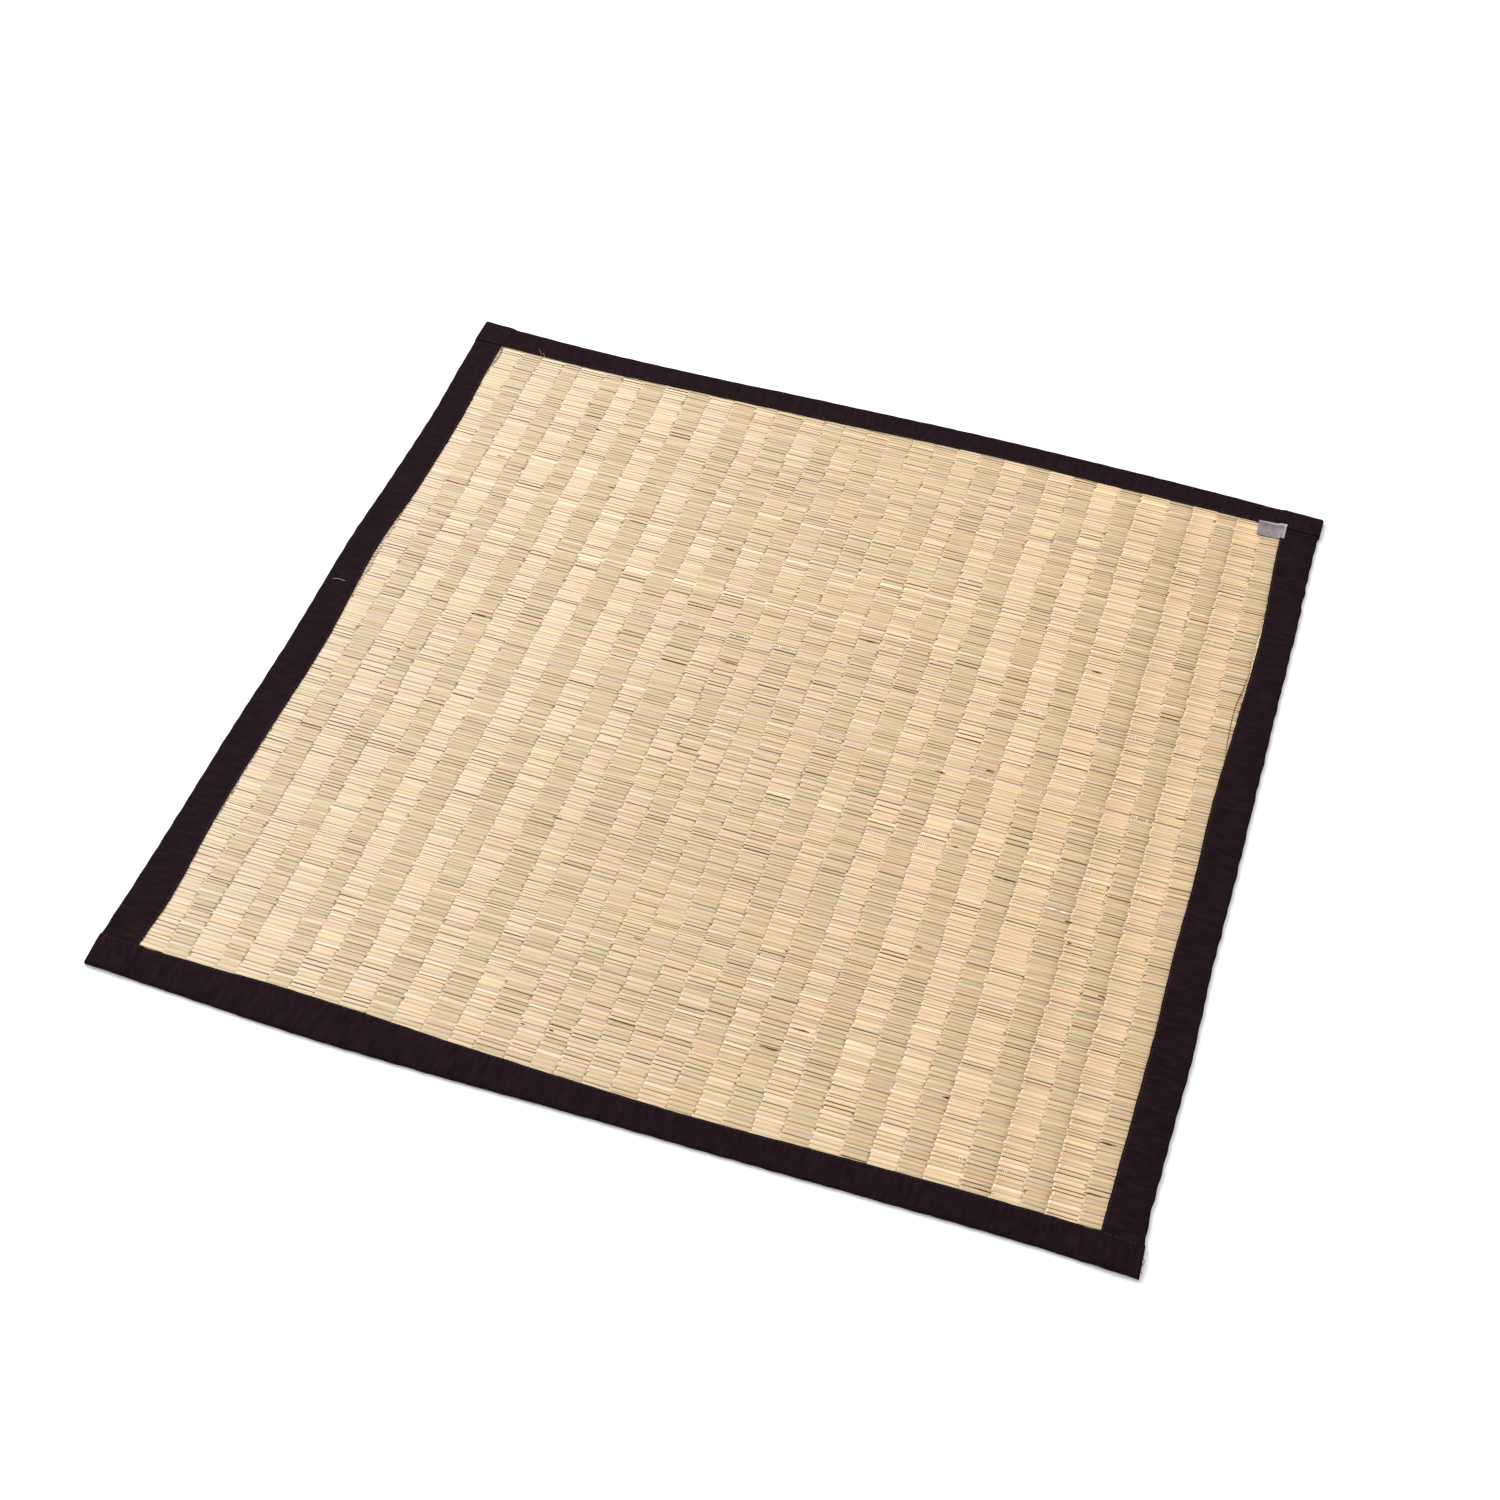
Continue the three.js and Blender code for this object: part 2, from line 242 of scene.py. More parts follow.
class Finish:
    """One material: a Principled shader and the nodes that feed it."""

    def __init__(self, name, **constants):
        self.material = bpy.data.materials.new(name)
        self.material.use_nodes = True
        self.tree = self.material.node_tree
        self.shader = self.tree.nodes["Principled BSDF"]
        for socket, value in constants.items():
            self.shader.inputs[socket.replace("_", " ")].default_value = value

    def add(self, kind, settings=None, sockets=None, out=0):
        """A node of that kind. Its settings come first, then the values or links of its sockets."""
        node = self.tree.nodes.new(kind)
        for key, value in (settings or {}).items():
            setattr(node, key, value)
        for key, value in (sockets or {}).items():
            if isinstance(value, Value):
                self.tree.links.new(value.socket, node.inputs[key])
            else:
                node.inputs[key].default_value = value
        return Value(self, node.outputs[out])

    def attribute(self, name, out):
        """An attribute of the mesh: out 0 is its colour, 1 its vector and 3 a colour's fourth number."""
        return self.add("ShaderNodeAttribute", {"attribute_name": name}, out=out)

    def parts(self, vector, count):
        """The first numbers of a vector."""
        return [self.add("ShaderNodeSeparateXYZ", {}, {0: vector}, out=k) for k in range(count)]

    def cloth(self):
        """The place on the piece of cloth, in metres along it and across it."""
        return self.add("ShaderNodeUVMap", {"uv_map": "cloth"})

    def stretch(self, at, *factors):
        """A place stretched by a factor along each axis, so that a noise there gets finer."""
        return self.add("ShaderNodeVectorMath", {"operation": "MULTIPLY"}, {0: at, 1: factors})

    def place(self, *factors):
        """The point on the object, stretched by a factor along each axis."""
        return self.stretch(self.add("ShaderNodeTexCoord", out=3), *factors)

    def noise(self, at, detail=2.0, rough=0.5):
        """A cloudy random number from 0 to 1, about one cloud to each unit of the place."""
        sockets = {"Vector": at, "Scale": 1.0, "Detail": detail, "Roughness": rough}
        return self.add("ShaderNodeTexNoise", {}, sockets)

    def blend(self, share, a, b):
        """Colour b over colour a, by its share."""
        settings = {"data_type": "RGBA", "clamp_factor": True}
        return self.add("ShaderNodeMix", settings, {0: share, 6: a, 7: b}, out=2)

    def shade(self, colour, amount):
        """A colour made darker or lighter by a number."""
        return self.add("ShaderNodeVectorMath", {"operation": "SCALE"}, {0: colour, 3: amount})

    def feed(self, colour, roughness, height, depth, strength):
        """Links colour, roughness and a bump whose height of 1 stands that many metres."""
        sockets = {"Height": height, "Distance": depth, "Strength": strength}
        bump = self.add("ShaderNodeBump", {}, sockets)
        for socket, value in (("Base Color", colour), ("Roughness", roughness), ("Normal", bump)):
            self.tree.links.new(value.socket, self.shader.inputs[socket])
        return self.material


def straw_finish():
    """Dry rush: the straw's own tone, fine fibres along it, small brown spots, a satin skin, a shaded line
    where it meets its neighbour, as dark as the seam attribute says for that float, and a shaded part where it
    dives under the next column."""
    f = Finish("rush_straw", IOR=1.45, Specular_IOR_Level=0.3)
    # The fourth number of tone is painted shade where the straw dives under the next column and at the ends of
    # floats
    tone, dive_shade = f.attribute("tone", 0), f.attribute("tone", 3)
    place, near_dark, far_dark = f.parts(f.attribute("seam", 1), 3)
    fibre = f.noise(f.place(55, 3300, 3300), 2.0, 0.6)
    patch = f.noise(f.place(160, 900, 900), 3.0, 0.6)
    colour = f.shade(tone, 0.84 + fibre * 0.22 + patch * 0.12)
    spot = f.noise(f.place(240, 1500, 1500), 1.0).above(0.70, 0.78)
    colour = f.blend(spot * 0.5, colour, (0.33, 0.19, 0.085, 1))
    # Painted shade in the crevice along each side of a float, as dark as the seam attribute says
    near_seam = (0 - place).above(0.89 - near_dark * 0.34, 1.0) * near_dark
    far_seam = place.above(0.89 - far_dark * 0.34, 1.0) * far_dark
    colour = f.blend((near_seam + far_seam) * 0.86, colour, (0.150, 0.076, 0.028, 1))
    # Painted shade: darker where the straw changes sides and at the shaded ends of floats
    colour = f.blend(dive_shade ** 6 * 0.9, colour, (0.17, 0.11, 0.06, 1))
    return f.feed(colour, 0.44 + patch * 0.22, fibre, 0.00006, 0.55)


def cotton_finish():
    """Black cotton: a plain weave along the piece's own cloth map, faded a little in streaks, with lint."""
    f = Finish(
        "binding_cotton", IOR=1.4, Specular_IOR_Level=0.05, Sheen_Weight=0.01, Sheen_Roughness=0.4,
        Sheen_Tint=(0.75, 0.66, 0.7, 1),
    )
    cloth = f.cloth()
    u, v = f.parts(cloth, 2)
    weave = u.wave(0.0009) * v.wave(0.0009) * 0.5 + 0.5
    streak = f.noise(f.stretch(cloth, 260, 60, 1), 3.0, 0.6)
    worn = f.noise(f.place(90, 90, 90), 3.0, 0.6)
    lint = f.noise(f.place(1700, 1700, 1700), 1.0).above(0.76, 0.80)
    colour = f.blend(streak.above(0.35, 0.75), (0.0085, 0.0038, 0.0050, 1), (0.0141, 0.0070, 0.0087, 1))
    colour = f.shade(colour, 0.62 + weave * 0.3 + worn * 0.45)
    colour = f.blend(lint * 0.35, colour, (0.12, 0.1, 0.1, 1))
    return f.feed(colour, 0.82 + streak * 0.12, weave + streak * 0.6, 0.00009, 0.7)


def thread_finish():
    """Black sewing thread, twisted, a little smoother than the cloth."""
    f = Finish("sewing_thread", IOR=1.45, Specular_IOR_Level=0.35, Sheen_Weight=0.1)
    twist = f.noise(f.place(2400, 2400, 2400), 1.0)
    colour = f.blend(twist, (0.009, 0.006, 0.007, 1), (0.026, 0.019, 0.021, 1))
    return f.feed(colour, 0.5 + twist * 0.25, twist, 0.00005, 0.5)


def warp_finish():
    """Pale twisted cotton, for the warps."""
    f = Finish("warp_thread", IOR=1.45, Specular_IOR_Level=0.25)
    twist = f.noise(f.place(1500, 700, 1500), 2.0)
    colour = f.blend(twist, (0.62, 0.57, 0.49, 1), (0.76, 0.72, 0.65, 1))
    return f.feed(colour, 0.7 + twist * 0.2, twist, 0.0001, 0.6)


def label_finish():
    """Grey woven tape with a paler band along its right side and its far side, ribbed across, without any mark
    on it.
    """
    f = Finish("label_tape", IOR=1.45, Specular_IOR_Level=0.3, Sheen_Weight=0.1)
    u, v = f.parts(f.cloth(), 2)
    rib = v.wave(0.0007) * 0.5 + 0.5
    yarn = u.wave(0.0005) * 0.5 + 0.5
    cloudy = f.noise(f.place(260, 200, 200), 3.0, 0.6)
    colour = f.blend(cloudy.above(0.3, 0.7), (0.155, 0.128, 0.142, 1), (0.235, 0.195, 0.215, 1))
    # A paler band along the right side and along the far side of the tape
    pale_bands = u.above(0.0222, 0.0230) * (1 - u.above(0.0240, 0.0246)) + v.above(0.0152, 0.0160)
    colour = f.blend(pale_bands * 0.45, colour, (0.50, 0.44, 0.46, 1))
    colour = f.shade(colour, 0.86 + rib * 0.16 + yarn * 0.06)
    return f.feed(colour, 0.66 + cloudy * 0.15, rib + yarn * 0.5, 0.00006, 0.6)


def husk_finish():
    """Bits of dark husk and dry fibre: each has its own tone, streaked along it."""
    f = Finish("husk", IOR=1.45, Specular_IOR_Level=0.25)
    streak = f.noise(f.place(300, 2600, 2600), 2.0, 0.6)
    colour = f.shade(f.attribute("tone", 0), 0.6 + streak * 0.8)
    return f.feed(colour, 0.6 + streak * 0.2, streak, 0.00005, 0.5)


def floor_finish():
    """Plain white paper floor."""
    f = Finish("studio_floor", Specular_IOR_Level=0.0)
    grain = f.noise(f.place(30, 30, 30), 2.0)
    colour = f.blend(grain, (0.88, 0.88, 0.88, 1), (0.89, 0.89, 0.89, 1))
    return f.feed(colour, 0.9 + grain * 0.05, grain, 0.00001, 0.05)


# ---------------- meshes

def make_mesh(name, points, faces, finish, slot=None, tone=None, maps=None, seam=None, ridges=None):
    """A piece from its points in millimetres and arrays of faces, one array for each number of corners. Each
    point has three or four numbers of tone, a linear colour, three of seam, and two ridge numbers: an edge is
    sharp where both its ends have the same one above 0. maps holds, for each name, arrays like faces with a u
    and a v for each corner."""
    mesh = bpy.data.meshes.new(name)
    corners = np.concatenate([f.ravel() for f in faces]).astype(np.int32)
    totals = np.concatenate([np.full(len(f), f.shape[1]) for f in faces]).astype(np.int32)
    mesh.vertices.add(points.size // 3)
    mesh.vertices.foreach_set("co", (points * 0.001).astype(np.float32).ravel())
    mesh.loops.add(len(corners))
    mesh.loops.foreach_set("vertex_index", corners)
    mesh.polygons.add(len(totals))
    mesh.polygons.foreach_set("loop_start", np.concatenate([[0], np.cumsum(totals)[:-1]]).astype(np.int32))
    mesh.polygons.foreach_set("use_smooth", np.ones(len(totals), bool))
    mesh.update(calc_edges=True)
    if tone is not None and tone.shape[-1] == 3:
        tone = np.concatenate([tone, np.ones_like(tone[..., :1])], -1)
    layers = ("tone", "FLOAT_COLOR", "color", tone), ("seam", "FLOAT_VECTOR", "vector", seam)
    for key, kind, field, numbers in layers:
        if numbers is not None:
            layer = mesh.attributes.new(key, kind, "POINT")
            layer.data.foreach_set(field, numbers.astype(np.float32).ravel())
    if ridges is not None:
        ends = np.zeros(len(mesh.edges) * 2, np.int32)
        mesh.edges.foreach_get("vertices", ends)
        a, b = ridges.reshape(-1, 2)[ends].reshape(-1, 2, 2).swapaxes(0, 1)
        layer = mesh.attributes.new("sharp_edge", "BOOLEAN", "EDGE")
        layer.data.foreach_set("value", ((a == b) & (a > 0)).any(1))
    for key, parts in (maps or {}).items():
        uv = np.concatenate([part.reshape(-1, 2) for part in parts])
        mesh.uv_layers.new(name=key).uv.foreach_set("vector", uv.astype(np.float32).ravel())
    mesh.validate()
    mesh.materials.append(finish)
    piece = bpy.data.objects.new(name, mesh)
    bpy.context.scene.collection.objects.link(piece)
    if slot:
        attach(piece, "root")
    return piece


def make_tubes(name, path, across, half, half_up, sides, turn, finish, slot, **layers):
    """A piece of closed tubes, its points numbered by tube, ring and side. Each ring is its path's point, plus
    'across' times the cosine and the upward axis times the sine of each side's angle, each times the tube's
    half size there. The faces are a quad from each side of a ring to the next ring, and a cap on each end."""
    angle = 2 * np.pi * np.arange(sides) / sides + np.asarray(turn)[..., None]
    sideways = (half[..., None] * np.cos(angle))[..., None] * across[..., None, :]
    upwards = (half_up[..., None] * np.sin(angle))[..., None] * Z_AXIS
    index = np.arange(half.size * sides).reshape(*half.shape, sides)
    following = np.roll(index, -1, axis=2)
    quads = np.stack([index[:, :-1], following[:, :-1], following[:, 1:], index[:, 1:]], axis=-1)
    faces = [quads.reshape(-1, 4), np.concatenate([index[:, 0, ::-1], index[:, -1]])]
    return make_mesh(name, path[..., None, :] + sideways + upwards, faces, finish, slot, **layers)


def tube_map(along, sides):
    """The bake map: each tube is one strip of the square, its length along u and its sides across v, and each
    cap is a small polygon in the margin beside it."""
    count = len(along)
    u = 0.006 + 0.988 * along[:, :, None] * np.ones(sides + 1)
    v = (np.arange(count)[:, None, None] + 0.04 + 0.92 * np.arange(sides + 1) / sides) / count
    angle = 2 * np.pi * np.arange(sides) / sides
    cap_v = (np.arange(count)[:, None] + 0.5 + 0.3 * np.sin(angle)) / count
    caps = []
    for cap_u, turned in ((0.0028, -1), (0.9972, 1)):
        caps.append(np.stack([(cap_u + turned * 0.002 * np.cos(angle)) * np.ones_like(cap_v), cap_v], -1))
    return [np.concatenate([grid_map(*uv) for uv in zip(u, v * np.ones_like(u))]), np.concatenate(caps)]


def grid_map(u, v):
    """Map corners for the quads of a grid, from the u and v of its points."""
    g = np.stack([u, v], -1)
    return np.stack([g[:-1, :-1], g[:-1, 1:], g[1:, 1:], g[1:, :-1]], 2).reshape(-1, 4, 2)


# ---------------- woven rush

def straw_rows():
    """Place and room along Y of every straw: steps of unequal width laid side by side and scaled to the mat,
    each straw having half the way from the one before to the one after in its own family."""
    step = np.exp(WIDTH_SPREAD * np.random.default_rng(41).standard_normal(STRAWS))
    y = np.cumsum(step)
    y = FIRST_STRAW + (LAST_STRAW - FIRST_STRAW) * (y - y[0]) / (y[-1] - y[0])
    before, after = np.roll(y, 2), np.roll(y, -2)
    before[:2], after[-2:] = y[:2] - OUTSIDE_STEP, y[-2:] + OUTSIDE_STEP
    return (before + 2 * y + after) / 4, (after - before) / 2


def straw_bend(x, y):
    """How far a straw at that place strays along Y."""
    return 0.8 * drift(5, x, y, 150, 80)


def column_shift(x, y):
    """How far the warps wander along X as they run along Y."""
    return 1.0 + 0.9 * drift(3, x, y, 60, 45)


def uneven(rng, shape):
    """Random numbers of which neighbours down the first axis differ more than distant ones: each one less a
    share of the two beside it."""
    n = rng.standard_normal(shape)
    return n - 0.35 * (np.roll(n, 1, 0) + np.roll(n, -1, 0))


def straw_rings():
    """A straw's rings along X, three to a column: one where it changes sides, and one at each end of its
    float. Gives X, the column, whether the ring is on a float, and which change of sides it is nearest to."""
    inset = FLOAT_INSET * np.diff(COLUMN_EDGES)
    x = np.stack([COLUMN_EDGES[:-1], COLUMN_EDGES[:-1] + inset, COLUMN_EDGES[1:] - inset], 1)
    x = np.append(x.ravel(), COLUMN_EDGES[-1])
    ring = np.arange(len(x))
    return x, np.minimum(ring // 3, COLUMNS - 1), ring % 3 > 0, (ring + 1) // 3


# Linear colours of a straw's pale root and of its greyed tip, at the left and at the right of the mat. The left
# ones are less yellow: painted light, where the lamp falls strongest.
ROOT_TONES = np.array([[0.668, 0.530, 0.368], [0.680, 0.500, 0.296]])
TIP_TONES = np.array([[0.519, 0.406, 0.268], [0.528, 0.394, 0.233]])


def straw_tones(family, x, y, change, rng):
    """Linear colour of each ring's top: from pale root to grey-green tip along the straw, less yellow towards
    the left of the mat as painted light from the lamp there, with each bunch, each straw and each part between
    two changes of sides tinted a little, and a few straws much paler."""
    count, rings = x.shape
    along = np.clip((x - COLUMN_EDGES[0]) / (COLUMN_EDGES[-1] - COLUMN_EDGES[0]), 0, 1)
    along = 1 - along if family else along
    bunch = drift(17 + family, y, x, 11, 260)
    fine_bunch = drift(27 + family, y, x, 4.5, 300)
    reach = along + 0.07 * bunch + 0.04 * fine_bunch + 0.08 * rng.standard_normal((count, 1))
    greyed = smooth((reach - 0.10) / 0.58)[..., None]
    across = np.clip(x / COLUMN_EDGES[-1], -1, 1)[..., None] * 0.5 + 0.5
    root = ROOT_TONES[0] * (1 - across) + ROOT_TONES[1] * across
    tip = TIP_TONES[0] * (1 - across) + TIP_TONES[1] * across
    tone = root * (1 - greyed) + tip * greyed
    each_change = uneven(rng, (count, change[-1] + 1))[:, change]
    light = 0.036 * uneven(rng, (count, 1)) + 0.034 * each_change + 0.010 * rng.standard_normal((count, rings))
    light = light + 0.010 * fine_bunch + 0.050 * drift(37, x, y, 90, 1.8)
    light = light + np.where(rng.random((count, 1)) < 0.06, 0.14, 0.0)
    warm = 0.036 * uneven(rng, (count, 1)) + 0.035 * drift(47 + family, y, x, 9, 22)
    green = 0.020 * uneven(rng, (count, 1)) + 0.030 * drift(57 + family, y, x, 9, 22)
    tint = [light + 0.4 * warm - 0.9 * green, light + 0.7 * green, light - 1.2 * warm - 0.4 * green]
    return tone * np.exp(np.stack(tint, -1))


def seam_darkness(rng, y):
    """How dark the painted shade line is along both sides of each float, in the crevice where it meets its
    neighbour: faint for half of them, plain for most others and dark for a few. Two floats that meet share their
    line. Dark lines stand in groups, and tend to go on into the columns beside them."""
    middle = (COLUMN_EDGES[1:] + COLUMN_EDGES[:-1]) / 2
    line = np.append(y - 1.8, y[-1] + 1.8)[:, None]
    score = 0.9 * drift(83, middle, line, 48, 1.3) + 0.45 * drift(87, middle * 7, line, 20, 7)
    score = score + 0.35 * uneven(rng, (len(line), COLUMNS))
    rank = score.ravel().argsort().argsort().reshape(score.shape) / score.size
    between = np.interp(rank, (0, 0.45, 0.8, 1), (0.03, 0.30, 0.70, 0.90))
    return np.stack([between[:-1], between[1:]], -1)


# How far the ends of a float lie in shade: for each family its left and its right end, at the left and at the
# right of the mat
END_SHADE = np.array([[[0.68, 0.0], [0.70, 0.82]], [[0.0, 0.80], [0.0, 0.60]]])


def straw_shade(family, x, floats):
    """How far each ring lies in shade: half where the straw changes sides, more there at the left of the mat
    where a float ends and the next one starts to its right, and on the floats as END_SHADE says."""
    ring = np.arange(len(x))
    far_out = np.stack([smooth(-0.2 - x / 250), smooth(-0.2 + x / 250)], 1)
    at_end = (END_SHADE[family][ring % 3 - 1] * far_out).sum(1)
    left_start = (ring // 3 % 2 == 1) * smooth(-0.4 - x / 250)
    return np.where(floats, at_end, 0.55 + 0.34 * left_start)


def straws(name, family, chosen, finish):
    """Some straws of a family, from one end of the mat to the other. A straw lies in the middle height where
    it changes sides, and above or below the warps between, flattened and widened until it meets its
    neighbours."""
    rng = np.random.default_rng(500 + 10 * family + chosen[0] % 7)
    y_rest, room = (v[chosen][:, None] for v in straw_rows())
    ring_x, column, floats, change = straw_rings()
    count, rings = len(chosen), len(ring_x)
    each_side = np.ones((count, rings, STRAW_SIDES, 1))

    stagger = 0.60 * rng.standard_normal((count, change[-1] + 1))[:, change]
    x = ring_x + column_shift(ring_x, y_rest) + stagger
    x[:, 0] -= rng.uniform(0, 3, count)
    x[:, -1] += rng.uniform(0, 3, count)
    y = y_rest + straw_bend(x, y_rest) + 0.07 * rng.standard_normal((count, rings))
    side, cross = under_strips(x, y)
    low, thick = rush_low(side, cross), rush_high(side, cross) - rush_low(side, cross)
    plump = thick / RUSH_THICKNESS
    width = rng.uniform(0.96, 1.03, (count, COLUMNS))
    narrow = rng.random((count, COLUMNS)) < 0.16
    width = np.where(narrow, rng.uniform(0.74, 0.92, (count, COLUMNS)), width)[:, column]
    half_across = room * np.where(floats, 0.52 * width, 0.46)
    half_up = plump * np.where(floats, 0.50, 0.80)
    lift = plump * np.where(floats, 0.0, 0.42)
    up = np.where((column + family) % 2 == 1, 1.0, -1.0) * floats
    z = low + thick / 2 + lift + up * (thick / 2 - half_up) + 0.03 * rng.standard_normal((count, rings))
    turn = np.pi / 2 + 0.16 * rng.standard_normal((count, 1)) * np.ones((1, rings))

    # Sides in order: the top one, the near upper one, two below and the far upper one
    # Painted shade: the two upper sides of a straw darker and warmer, where it meets its neighbours, and the
    # right end of each float a little darker, as its slope turns from the lamp. Where the straw changes sides
    # its colour is a little paler.
    body = np.where(floats, 1.0, 1.03) * np.where(np.arange(rings) % 3 == 2, 0.97, 1.0)
    share = body[:, None, None] * np.array([1.0, 0.86, 1.0, 1.0, 0.86])[:, None]
    tone = straw_tones(family, x, y, change, rng)[:, :, None, :] * share ** np.array([1.0, 1.1, 1.25])
    shade = straw_shade(family, ring_x, floats)[:, None, None] * each_side
    # Painted shade lines along the sides of each float, and a share of them where the straw changes sides
    dark = seam_darkness(rng, y_rest.ravel())[:, column] * np.where(floats, 1.0, 0.4)[:, None]
    place = np.array([0.0, -1.0, -0.6, 0.6, 1.0])[:, None] * each_side
    seam = np.concatenate([place, dark[:, :, None, :] * each_side], -1)
    # The fourth number of tone: painted shade, as straw_shade gives it
    tone = np.concatenate([tone, shade], -1)

    # Sharp edges: along the near and the far side of the straw, and round it at the ends of its floats
    lengthwise = np.array([0, 1, 0, 0, 4])[:, None] * each_side
    crosswise = np.where(floats, np.arange(rings) + 1, 0)[:, None, None] * each_side
    ridges = np.concatenate([lengthwise, crosswise], -1)
    maps = {"OFBake": tube_map((x - x[:, :1]) / (x[:, -1:] - x[:, :1]), STRAW_SIDES)}
    return make_tubes(
        name, np.stack([x, y, z], -1), Y_AXIS, half_across, half_up, STRAW_SIDES, turn, finish, "rush",
        tone=tone, seam=seam, ridges=ridges, maps=maps,
    )


def warp_places():
    """X of the two warps of every column."""
    shares = WARP_SHARES[(np.arange(COLUMNS) + 1) % 2]
    return COLUMN_EDGES[:-1, None] + np.diff(COLUMN_EDGES)[:, None] * shares


def warps(finish):
    """Warp threads: square tubes along Y in the middle height of the rush, following the columns."""
    x_rest = warp_places().reshape(-1, 1)
    y = np.linspace(FIRST_STRAW - 1, LAST_STRAW + 1, 40)[None] * np.ones_like(x_rest)
    x = x_rest + column_shift(x_rest, y)
    side, cross = under_strips(x, y)
    z = (rush_low(side, cross) + rush_high(side, cross)) / 2
    half = np.full(x.shape, 0.27)
    return make_tubes("warps", np.stack([x, y, z], -1), -X_AXIS, half, half, 4, np.pi / 4, finish, "rush")


# Rows along Y where the warps show as pale ticks: place, its slope along X, which family floats there, from
# and to along X, and the share of the warps that show
TICK_ROWS = (
    (87.0, 0.007, 1, -145, 352, 0.95), (3.4, 0.004, 0, -75, 340, 0.9), (-63.2, 0.0, 1, 110, 352, 0.85),
    (-81.4, 0.012, 1, -20, 345, 0.95), (-82.0, 0.0, 1, -175, -125, 0.9), (321.0, 0.0, 0, -40, 190, 0.5),
    (219.4, 0.0, 1, 110, 345, 0.45), (-283.0, 0.0, 1, 110, 135, 1.0), (-346.6, 0.0, 1, 155, 340, 0.4),
    (117.7, 0.0, 1, 25, 165, 0.5),
)


def ticks(finish):
    """Warps that show between two floats: short threads that rise out of the rush, lie over it and dip again,
    side by side in twos, at two places in each column of the family that floats there."""
    rng = np.random.default_rng(77)
    places = warp_places()
    x, y = [], []
    for row, slope, family, start, end, share in TICK_ROWS:
        shown = ((np.arange(COLUMNS) + family) % 2 == 1)[:, None] & (places > start) & (places < end)
        shown &= rng.random(places.shape) < share
        for apart in (-0.85, 0.85):
            x.append(places[shown] + apart)
            y.append(row + slope * places[shown] + 0.5 * rng.standard_normal(shown.sum()))
    x, y = np.concatenate(x)[:, None], np.concatenate(y)[:, None]
    reach = rng.uniform(2.3, 3.1, x.shape)
    step = np.array([-1.0, -0.72, 0.0, 0.72, 1.0])
    py = y + reach * step
    px = x + 0.2 * rng.standard_normal(x.shape) + rng.uniform(-0.4, 0.4, x.shape) * step
    side, cross = under_strips(px, py)
    pz = rush_high(side, cross) + np.array([-0.70, 0.02, 0.12, 0.02, -0.70])
    half = np.array([0.20, 0.34, 0.37, 0.34, 0.20]) * rng.uniform(0.8, 1.1, x.shape)
    path = np.stack([px, py, pz], -1)
    return make_tubes("warp_ticks", path, -X_AXIS, half, 0.7 * half, 6, 0.0, finish, "rush")


# Dark and pale bits in the rush: place, length along the straw, and kind, which is a row of HUSK_TONES
HUSKS = (
    (-358, 245, 15, 0), (-344, 180, 25, 0), (-317, 226, 9, 2), (-337, 137, 12, 2), (-259, 35, 21, 1),
    (-44, 56, 17, 0), (-172, 189, 19, 1), (-248, 290, 5, 1), (-86, 184, 9, 1), (154, -2, 9, 0),
    (231, -90, 21, 1), (121, -280, 15, 0), (105, -302, 17, 1), (287, -114, 6, 1), (292, -135, 4, 1),
    (184, -176, 6, 0), (326, -174, 5, 0), (239, -301, 6, 1), (359, -300, 13, 1), (358, -345, 14, 1),
    (283, -367, 17, 1), (185, -72, 6, 1), (192, 14, 7, 1), (349, 16, 10, 0), (-74, -343, 4, 1),
    (-52, -340, 4, 1), (-210, 222, 6, 1), (-180, 240, 12, 2), (278, -107, 26, 3), (-300, -20, 12, 2),
    (-120, -150, 8, 1), (-20, -240, 7, 2), (60, 120, 9, 1), (150, 200, 8, 2), (250, 150, 10, 1),
)
HUSK_TONES = np.array([linear(124, 30, 18), linear(62, 38, 26), linear(150, 92, 62), linear(244, 232, 208)])


def husks(finish):
    """Slivers that lie along a straw: thin flat tubes, widest in the middle and drawn out to both ends."""
    rng = np.random.default_rng(91)
    rows = np.array(HUSKS, float)
    left, y_row, length, kind = (rows[:, k:k + 1] for k in range(4))
    y_straw = straw_rows()[0]
    t = np.linspace(-1, 1, 9)
    x = left + length / 2 * t
    y_rest = y_straw[np.abs(y_row - y_straw).argmin(1)][:, None]
    y = y_rest + straw_bend(x, y_rest) + 0.30 * drift(93, x, y_rest, 4, 1)
    side, cross = under_strips(x, y)
    z = rush_high(side, cross) + 0.06 + 0.06 * rng.standard_normal(x.shape) * (1 - t * t)
    half = np.sqrt(np.maximum(1 - t * t, 0.02)) * rng.uniform(0.45, 0.75, (len(rows), 1))
    half = half * (1 + 0.35 * rng.uniform(-1, 1, x.shape))
    sides, path, half_up = 5, np.stack([x, y, z], -1), 0.26 * np.sqrt(half)
    tone = HUSK_TONES[kind.astype(int)] * np.exp(0.25 * rng.standard_normal(x.shape))[..., None]
    tone = np.repeat(tone[:, :, None, :], sides, axis=2)
    return make_tubes("husks", path, Y_AXIS, half, half_up, sides, np.pi / 2, finish, "rush", tone=tone)


# ---------------- binding

# Where a strip's section has points: distances out from its inner edge, above and below, shares of the flat
# part between the last of them and the fold, and points round the fold, which begins at FOLD_REACH
TOP_POINTS = np.array([0.0, 0.13, 0.38, 0.9, 1.5, 2.1, 3.2, 6.0, 9.0, 10.5])
LOW_POINTS = np.array([0.0, 0.15, 0.5, 1.5, 6.0])
FLAT_SHARES = np.array([0.25, 0.5, 0.75])
FOLD_REACH = 2.0
FOLD_POINTS = 7

